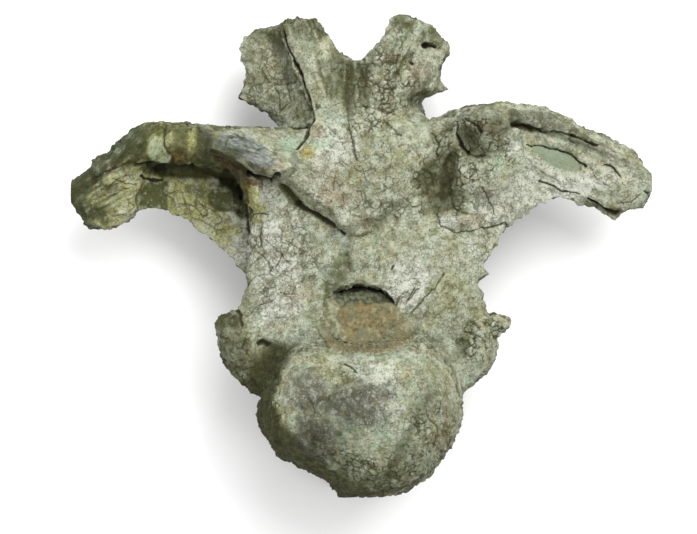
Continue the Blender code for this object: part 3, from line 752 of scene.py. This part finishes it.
def carved(points, normals):
    """How far each vertex of the bone moves out along its normal, and the masks for its material."""
    masks = {}
    facing = soft(normals[:, 2], -0.05, 0.3)
    seen = soft(normals[:, 2], -0.4, 0)
    sides = 1 - soft(np.abs(normals[:, 2]), 0.2, 0.7)

    def mark(name, values):
        masks[name] = np.maximum(masks.get(name, 0), values)

    wide = rough(points, 38, 5, 2)
    middling = rough(points, 13, 8, 3)
    small = rough(points, 5, 12, 2)
    tiny = noise(points, 2.2, 15)
    spots = warped(warped(points, 9, 2, 40), 3, 0.7, 60)[:, :2]
    rugged = 1 - 0.8 * field(spots, 0, CALM)

    lumps = 1.4 * wide + 1.6 * middling + (0.7 + 1.4 * sides) * small + (0.3 + 0.5 * sides) * tiny
    move = rugged * lumps - 0.7
    chips = soft(rough(points, 6, 19, 2), 0.25, 0.4)
    move += sides * (3 * np.maximum(rough(points, 8, 17, 2) - 0.15, 0) - 1.4 * chips)

    # Plates with cracks between them, some fallen out where they stand apart.
    crackled = field(spots + 6 * wide[:, None], 0.3, CRACKLED)
    plated = facing * field(spots, 0, PLATED)
    patchy = rough(points, 19, 33, 2)
    fade = soft(patchy + 0.5 * small, -0.3, 0.45)
    edge, way, number = cells(warped(warped(points, 30, 8, 50), 9, 3.2, 1), 12, 20)
    line = 1 - soft(edge, 0.05, 0.6 + 0.9 * soft(middling, -0.5, 0.6))
    away = (number * 1e6).astype(np.int64)[:, None] + (0, 5, 9)
    lean = np.stack([drawn(away, seed) for seed in (1, 2, 3)], axis=1) - 0.5
    lean = np.einsum("ij,ij->i", way, lean)
    move += crackled * (0.7 * (number - 0.5) + 0.16 * lean - 0.8 * line * fade)
    masks["crack_and_shade"] = 0.5 * crackled * line * fade
    masks["plate"] = 0.5 + (number - 0.5) * np.clip(crackled * 1.6, 0, 1)
    ground = plated * np.maximum(1 - soft(edge, 0.2, 1 + 1.2 * soft(small, -0.5, 0.7)), number < 0.08)
    move -= 1.2 * ground
    masks["olive"] = 0.6 * ground
    masks["pale"] = 0.8 * np.clip(plated - ground, 0, 1)
    masks["lines"] = np.clip(crackled + 0.3 * patchy, 0, 1)

    broken = soft(field(spots, 0, RUBBLE) + 0.35 * middling, 0.2, 0.8)
    edge, way, number = cells(warped(points, 5, 2.2, 70), 6.5, 80)
    line = (1 - soft(edge, 0, 1.1)) * soft(small + 0.6 * patchy, -0.5, 0.4)
    move += broken * (1.8 * (number - 0.5) - 1.4 * line)
    mark("crack_and_shade", 0.75 * broken * line)
    masks["plate"] += broken * (number - masks["plate"]) * 0.8

    grain, thin = grained(points, spots)
    thin *= soft(patchy + 0.4 * small, -0.2, 0.4) * facing
    move += facing * (0.6 * grain - 0.7 * thin)
    mark("crack_and_shade", 0.7 * thin)

    form_tone_and_shading = 0.45 * grain
    # The forms paint shade in hollows and light on rises, on top of the grain's own tone.
    for path, width, height, shade in FORMS:
        near = soft(near_path(spots + 2 * middling[:, None], path, width) * seen, 0, 0.8)
        move += height * near * facing
        form_tone_and_shading += shade * near
    for outline, softness, height, shade, *stain in SHAPES:
        near = near_shape(spots, outline, softness) * seen
        move += height * near * facing
        form_tone_and_shading += shade * near
        if stain:
            mark(stain[0], stain[1] * near * np.clip(1 + 0.5 * small, 0, 1))

    uneven = 1 + 0.7 * small + 0.3 * tiny
    level = 0.5 + 0.5 * soft(normals[:, 2], 0, 0.3)
    # The gaps' dark paint: the bone's own dark cracks, painted shade in gaps, slits and holes, and painted
    # shadow under edges.
    for path, width, depth, dark, *lowest in GAPS:
        near = np.clip(near_path(spots, path, width) * seen * uneven, 0, 1)
        near *= points[:, 2] > (lowest[0] if lowest else FRONT)
        move -= depth * soft(near, 0, 0.8)
        mark("crack_and_shade", dark * level * soft(near, 0.05, 0.6))

    for name, centre, radii, strength, *turn in PATCHES:
        near = near_spot(spots, centre, radii, *turn)
        mark(name, np.clip(strength * near * 1.6 + 0.5 * small * (near > 0), 0, 1) * seen)
    masks["putty"] *= points[:, 2] > FRONT

    # Painted shade on faces turned to the lower left, away from the lamp.
    lower_left_shade = soft(-0.5 * normals[:, 0] - 0.86 * normals[:, 1] + 0.2 * middling, 0.1, 0.9)
    tone_and_shading = field(spots + 8 * wide[:, None], 0, TONES_AND_SHADING) + form_tone_and_shading
    clean = 1 - 0.9 * masks["stain"]
    patched = soft(rough(points, 8, 23, 3), -0.35, 0.15)
    # The tone, with painted shade on steep and downward faces and, in patches, on lower-left faces.
    masks["tone_and_shading"] = np.clip(tone_and_shading, -1, 1) * seen - clean * (0.55 * (1 - seen) + 0.4 * lower_left_shade * patched)
    # Grime and painted shade on steep and downward faces, in patches.
    masks["dirt_and_shade"] = clean * (0.3 + 0.7 * patched) * (1 - soft(normals[:, 2] + 0.3 * middling, -0.1, 0.5))
    return move, masks


def smoothed(piece, passes):
    """The places of a piece's vertices after smoothing, which is then taken back."""
    kept = piece.data
    modified(piece, "SMOOTH", factor=0.5, iterations=passes)
    spare = piece.data
    places = read(spare)
    piece.data = kept
    bpy.data.meshes.remove(spare)
    return places


def bone_surface(bone):
    """Moves the bone's vertices to their carved places and stores the masks on its mesh."""
    mesh = bone.data
    points, normals = shifted(read(mesh) / MM - origin), read(mesh, "normal")
    flattened(points, PLATE, softness=4, lowest=105, rise=2)
    move, masks = carved(points, normals)
    move *= soft(points[:, 2], 0.2, 5)
    moved = (points + origin + normals * move[:, None]) * MM
    low, high = (np.array(corner) for corner in cad_box)
    moved = np.clip(moved, low, high)
    place(mesh, moved)
    normals = read(mesh, "normal")
    # How far the surface lies below its smoothed form: grime and painted shade there, and wear and painted
    # highlight where it stands above.
    hollow = np.zeros(len(moved))
    for passes, weight in ((6, 1.3), (40, 0.7)):
        even = smoothed(bone, passes)
        hollow += weight * np.einsum("ij,ij->i", even - moved, normals) / MM
    clean = 1 - 0.7 * masks["stain"]
    masks["dirt_and_shade"] = np.clip(masks["dirt_and_shade"] + 0.9 * soft(hollow, 0.15, 1.8) * clean, 0, 1)
    # Wear and painted highlight: paler where the surface stands above its smoothed form.
    masks["wear_and_highlight"] = soft(-hollow, 0.15, 1.5)
    store(mesh, masks)


def linear(red, green, blue):
    """A colour given as seen on a screen, from 0 to 255, in the numbers that a shader takes."""
    shades = [((c / 255 + 0.055) / 1.055) ** 2.4 if c > 10 else c / 3294.6 for c in (red, green, blue)]
    return (*shades, 1)


class Shading:
    """A material's nodes, made one by one."""

    def __init__(self, name, roughness):
        self.material = bpy.data.materials.new(name)
        self.material.use_nodes = True
        self.tree = self.material.node_tree
        self.shader = self.tree.nodes["Principled BSDF"]
        self.shader.inputs["Roughness"].default_value = roughness
        self.shader.inputs["Specular IOR Level"].default_value = 0.25
        place = self.node("ShaderNodeTexCoord", {}, {}).outputs["Object"]
        self.points = self.vector("SCALE", {0: place, "Scale": 1 / MM})

    def node(self, kind, settings, inputs):
        made = self.tree.nodes.new(kind)
        for key, value in settings.items():
            setattr(made, key, value)
        for key, value in inputs.items():
            if isinstance(value, bpy.types.NodeSocket):
                self.tree.links.new(value, made.inputs[key])
            else:
                made.inputs[key].default_value = value
        return made

    def mask(self, name):
        return self.node("ShaderNodeAttribute", {"attribute_name": name}, {}).outputs["Fac"]

    def noise(self, size, detail=3, points=None, output=0):
        inputs = {"Vector": points or self.points, "Scale": 1 / size, "Detail": detail, "Roughness": 0.6}
        return self.node("ShaderNodeTexNoise", {}, inputs).outputs[output]

    def band(self, value, low, high, top=1.0):
        """0 up to low, top from high on."""
        limits = {0: value, 1: low, 2: high, 4: top}
        return self.node("ShaderNodeMapRange", {"interpolation_type": "SMOOTHSTEP"}, limits).outputs[0]

    def maths(self, operation, first, second):
        return self.node("ShaderNodeMath", {"operation": operation}, {0: first, 1: second}).outputs[0]

    def mix(self, share, first, second, blend="MIX"):
        settings = {"data_type": "RGBA", "blend_type": blend}
        return self.node("ShaderNodeMix", settings, {0: share, 6: first, 7: second}).outputs[2]

    def mottled(self, value, low, high, first, second):
        """One paint up to low, the other from high on."""
        return self.mix(self.band(value, low, high), linear(*first), linear(*second))

    def painted(self, colour, *coats):
        """The colour under coats of paint, each with a share of 0 up to low and top from high on."""
        for value, low, high, top, paint in coats:
            colour = self.mix(self.band(value, low, high, top), colour, linear(*paint))
        return colour

    def vector(self, operation, inputs):
        return self.node("ShaderNodeVectorMath", {"operation": operation}, inputs).outputs[0]

    def warped(self, size, amount):
        """The points pushed about by noise, so that what follows them runs unevenly."""
        push = self.vector("SUBTRACT", {0: self.noise(size, 2, output="Color"), 1: (0.5, 0.5, 0.5)})
        push = self.vector("SCALE", {0: push, "Scale": amount})
        return self.vector("ADD", {0: self.points, 1: push})

    def moved(self, distance):
        """The points moved along, so that one noise doesn't follow another."""
        return self.vector("ADD", {0: self.points, 1: (distance, distance, distance)})

    def cells(self, size, points, feature="F1"):
        inputs = {"Vector": points, "Scale": 1 / size}
        return self.node("ShaderNodeTexVoronoi", {"feature": feature}, inputs)

    def finished(self, colour, height, depth):
        """The material, with its colour and with bumps that deep."""
        bump = self.node("ShaderNodeBump", {}, {"Height": height, "Distance": depth, "Strength": 0.9})
        colour = self.mix(1.0, colour, PAINT, "MULTIPLY")
        self.tree.links.new(colour, self.shader.inputs["Base Color"])
        self.tree.links.new(bump.outputs[0], self.shader.inputs["Normal"])
        return self.material


def sediment_colour(made):
    """Sandy brown with darker and paler grains."""
    broad = made.noise(12, 4, made.moved(40))
    return made.painted(
        made.mottled(broad, 0.34, 0.62, (120, 119, 92), (138, 123, 86)),
        (made.noise(8, 4, made.moved(20)), 0.52, 0.66, 0.6, (172, 162, 126)),
        (made.noise(6, 4), 0.52, 0.66, 0.7, (96, 80, 50)),
        (made.noise(3, 4), 0.52, 0.7, 0.6, (92, 86, 58)),
        (made.noise(2.2, 3), 0.45, 0.3, 0.45, (188, 180, 148)),
    )


def bone_material():
    """Grey-green fossil bone with fine cracks and stains, grime and painted shade in its hollows and on its
    steep sides, and wear and painted highlight on its raised edges.
    """
    made = Shading("fossil_bone", 0.85)
    bent = made.warped(5, 4)
    hue = made.noise(7, 3, made.moved(110))
    warm = made.noise(26, 3, made.moved(150))
    patchy = made.noise(7, 5, made.moved(30))
    colour = made.painted(
        made.mottled(made.noise(42), 0.35, 0.65, (150, 154, 124), (174, 180, 156)),
        (made.noise(12, 5), 0.4, 0.66, 1, (188, 191, 168)),
        (made.noise(9, 5, made.moved(70)), 0.48, 0.7, 0.75, (120, 117, 86)),
        (hue, 0.53, 0.68, 0.6, (138, 160, 126)),
        (hue, 0.45, 0.31, 0.6, (164, 146, 100)),
        (warm, 0.5, 0.66, 0.5, (160, 156, 104)),
        (warm, 0.48, 0.33, 0.4, (164, 178, 168)),
        (made.mask("plate"), 0.55, 1, 0.5, (200, 204, 188)),
        (made.mask("plate"), 0.45, 0, 0.5, (120, 119, 90)),
        # Paler where the tone is above 0: the bone's own tone, and painted light.
        (made.mask("tone_and_shading"), 0, 1, 0.6, (208, 209, 196)),
    )
    for name, paint, top in (
        ("pale", (215, 216, 203), 0.8),
        ("khaki", (170, 167, 103), 0.85),
        ("mint", (156, 178, 152), 0.8),
        ("pink", (164, 146, 122), 0.7),
        ("olive", (82, 87, 44), 0.9),
        ("dusk", (92, 90, 85), 0.8),
        ("ochre", (158, 134, 58), 1.0),
        ("rust", (112, 84, 46), 0.95),
    ):
        share = made.band(made.mask(name), 0.05, 0.8, top)
        share = made.maths("MULTIPLY", share, made.band(patchy, 0, 0.55, 1.1))
        colour = made.mix(share, colour, linear(*paint))

    small = made.cells(5, bent)
    tint = made.node("ShaderNodeSeparateColor", {}, {0: small.outputs["Color"]})
    speckle = made.noise(1.7, 5)
    colour = made.painted(
        colour,
        (tint.outputs[0], 0.6, 1, 0.3, (208, 208, 190)),
        (tint.outputs[1], 0.6, 1, 0.4, (104, 101, 74)),
        (patchy, 0.52, 0.66, 0.55, (106, 103, 72)),
        (patchy, 0.46, 0.34, 0.38, (209, 210, 197)),
        (speckle, 0.54, 0.66, 0.78, (84, 81, 56)),
    )
    flecks = made.band(speckle, 0.44, 0.3, 0.5)
    flecks = made.maths("MULTIPLY", flecks, made.band(made.mask("olive"), 0.4, 0.1))
    colour = made.mix(flecks, colour, linear(218, 220, 204))

    slate = made.mottled(made.noise(4, 4), 0.4, 0.62, (102, 107, 107), (150, 156, 153))
    colour = made.mix(made.band(made.mask("slate"), 0.1, 0.8, 0.85), colour, slate)
    colour = made.mix(made.band(made.mask("stain"), 0.15, 0.8, 0.85), colour, sediment_colour(made))
    # Wear and painted highlight on raised edges.
    colour = made.painted(colour, (made.mask("wear_and_highlight"), 0.1, 1, 0.35, (206, 207, 188)))
    # Darker where the tone is below 0: the bone's own tone, and painted shade.
    dark = made.mottled(made.mask("tone_and_shading"), 0, -1, (255, 255, 255), (121, 124, 91))
    colour = made.mix(1.0, colour, dark, "MULTIPLY")

    fine = made.cells(9, bent, "DISTANCE_TO_EDGE").outputs["Distance"]
    finer = made.cells(4, bent, "DISTANCE_TO_EDGE").outputs["Distance"]
    width = made.band(made.noise(12, 3, made.moved(50)), 0.38, 0.62, 0.11)
    line = made.band(made.maths("SUBTRACT", width, fine), -0.01, 0.035, 0.65)
    lines = made.maths("MULTIPLY", line, made.band(made.mask("lines"), 0.25, 0.8))
    width = made.band(made.noise(9, 3, made.moved(90)), 0.42, 0.62, 0.13)
    line = made.band(made.maths("SUBTRACT", width, finer), 0, 0.05, 0.65)
    small_lines = made.maths("MULTIPLY", line, made.band(made.mask("lines"), 0.05, 0.3, 0.7))
    colour = made.mix(small_lines, colour, linear(88, 82, 56))
    colour = made.mix(lines, colour, linear(66, 62, 38))
    # Grime and painted shade in hollows and on steep faces; the darkest crack paint is painted shade in
    # gaps, slits and holes and painted shadow under edges.
    dirt_and_shade = made.mottled(made.mask("rust"), 0.1, 0.7, (58, 59, 32), (90, 62, 28))
    colour = made.painted(
        made.mix(made.band(made.mask("dirt_and_shade"), 0.1, 1, 0.85), colour, dirt_and_shade),
        (made.mask("putty"), 0.3, 0.6, 0.8, (138, 149, 124)),
        (made.mask("crack_and_shade"), 0.02, 0.75, 0.9, (66, 64, 38)),
        (made.mask("crack_and_shade"), 0.6, 1, 0.95, (26, 24, 12)),
    )

    height = made.maths("MULTIPLY", made.maths("ADD", lines, small_lines), -0.5)
    height = made.maths("ADD", height, speckle)
    height = made.maths("ADD", height, made.maths("MULTIPLY", patchy, 1.8))
    height = made.maths("ADD", height, made.maths("MULTIPLY", made.noise(0.9, 2), 0.35))
    return made.finished(colour, height, 0.0012)


def sediment_material():
    """Sandy sediment, with dark, greenish painted shade under the canal's roof and a near-black painted
    shadow along its top.
    """
    made = Shading("sediment", 0.9)
    mottled = made.mottled(made.noise(5, 4), 0.4, 0.6, (116, 116, 88), (172, 172, 144))
    colour = made.mix(made.band(made.mask("rim"), 0.2, 0.9, 0.8), sediment_colour(made), mottled)
    # Dark, greenish painted shade under the canal's roof, and a near-black painted shadow along its top.
    mottled = made.mottled(made.noise(4, 4), 0.4, 0.6, (68, 76, 56), (122, 126, 100))
    colour = made.mix(made.band(made.mask("dirt_and_shade"), 0.2, 0.8, 0.9), colour, mottled)
    colour = made.painted(colour, (made.mask("deep"), 0.1, 0.9, 0.9, (20, 21, 15)))
    height = made.maths("ADD", made.noise(3, 5), made.noise(1, 3))
    return made.finished(colour, height, 0.0008)


def sediment_surface(fill):
    """Gives the sediment its lumps, brings its foot flush with the bone, and marks its rim, the painted
    shade under the roof and the painted shadow along its top.
    """
    mesh = fill.data
    points, normals = read(mesh) / MM - origin, read(mesh, "normal")
    in_front = soft(points[:, 2], FRONT, 92)
    bent = warped(points, 7, 4, 205)
    # It is sunk under the roof, but not at the roof's ends.
    sunk = soft(bent[:, 1], 98, 107) * soft(bent[:, 0], -25, -18) * (1 - soft(bent[:, 0], 27, 32))
    from_axis = (points - (0, CANAL_UP, 0)) * (1, 1, 0)
    across = np.linalg.norm(from_axis / (31, 24, 1), axis=1) + 0.06 * rough(points, 12, 207, 2)
    as_built = 118 - 0.58 * (points[:, 1] - 74)
    foot = soft(84 - points[:, 1], 0, 14) * (1 - soft(np.abs(points[:, 0]), 12, 27))
    flush = 126 - 2.5 * soft(across, 0.72, 1) + 14 * foot
    points[:, 2] += (flush - as_built) * (1 - 0.4 * sunk) * in_front
    points += from_axis * (0.17 * in_front * (1 - sunk))[:, None]
    lumps = 2.4 * rough(points, 9, 210, 3) + 1.4 * rough(points, 4, 215, 2)
    points += normals * (lumps * in_front)[:, None]
    rim = soft(across + 0.2 * rough(points, 7, 225, 2) - 0.4 * foot - 0.006 * points[:, 0], 0.6, 0.86)
    # The near-black painted shadow along the top, under the roof's edge.
    deep = sunk * soft(points[:, 1] + 3 * rough(points, 6, 220, 3) + 0.006 * points[:, 0] ** 2, 113, 117)
    place(mesh, (points + origin) * MM)
    # The painted shade under the roof follows where the sediment is sunk.
    store(mesh, {"dirt_and_shade": sunk, "rim": rim, "deep": deep})


bone = netted("bone", "vertebra", NET, NET_PASSES, SOFTENED)
bone_surface(bone)
bone.data.materials.append(bone_material())
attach(bone, "root")
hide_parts("vertebra")

fill = netted("canal_sediment", "canal_matrix", 1.6, 2)
sediment_surface(fill)
fill.data.materials.append(sediment_material())
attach(fill, "root")
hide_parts("canal_matrix")


def plain(name, colour):
    """A plain matte material."""
    material = bpy.data.materials.new(name)
    material.use_nodes = True
    shader = material.node_tree.nodes["Principled BSDF"]
    shader.inputs["Base Color"].default_value = (*colour, 1)
    shader.inputs["Roughness"].default_value = 1
    shader.inputs["Specular IOR Level"].default_value = 0
    return material


bpy.ops.mesh.primitive_plane_add(size=12, location=(0, 0, -0.0005))
floor = bpy.context.object
floor.name = "floor"
floor.data.materials.append(plain("floor", (0.95, 0.95, 0.95)))

scene = bpy.context.scene
scene.view_settings.view_transform = "Standard"
scene.world = bpy.data.worlds.new("sky")
scene.world.use_nodes = True
sky = scene.world.node_tree.nodes["Background"]
sky.inputs["Color"].default_value = (1, 1, 1, 1)
sky.inputs["Strength"].default_value = 1.02

# A soft square lamp over the bone, turned to face the middle of the floor.
light = bpy.data.lights.new("key_lamp", "AREA")
light.size, light.energy = 2.2, 102
lamp = bpy.data.objects.new("key_lamp", light)
scene.collection.objects.link(lamp)
lamp.location = (0.9, 1.6, 2.8)
lamp.rotation_euler = lamp.location.to_track_quat("Z", "Y").to_euler()

camera = bpy.data.objects.new("camera", bpy.data.cameras.new("camera"))
scene.collection.objects.link(camera)
camera.data.lens = CAMERA_LENS
camera.location = (origin + CAMERA_SPOT) * MM
scene.camera = camera
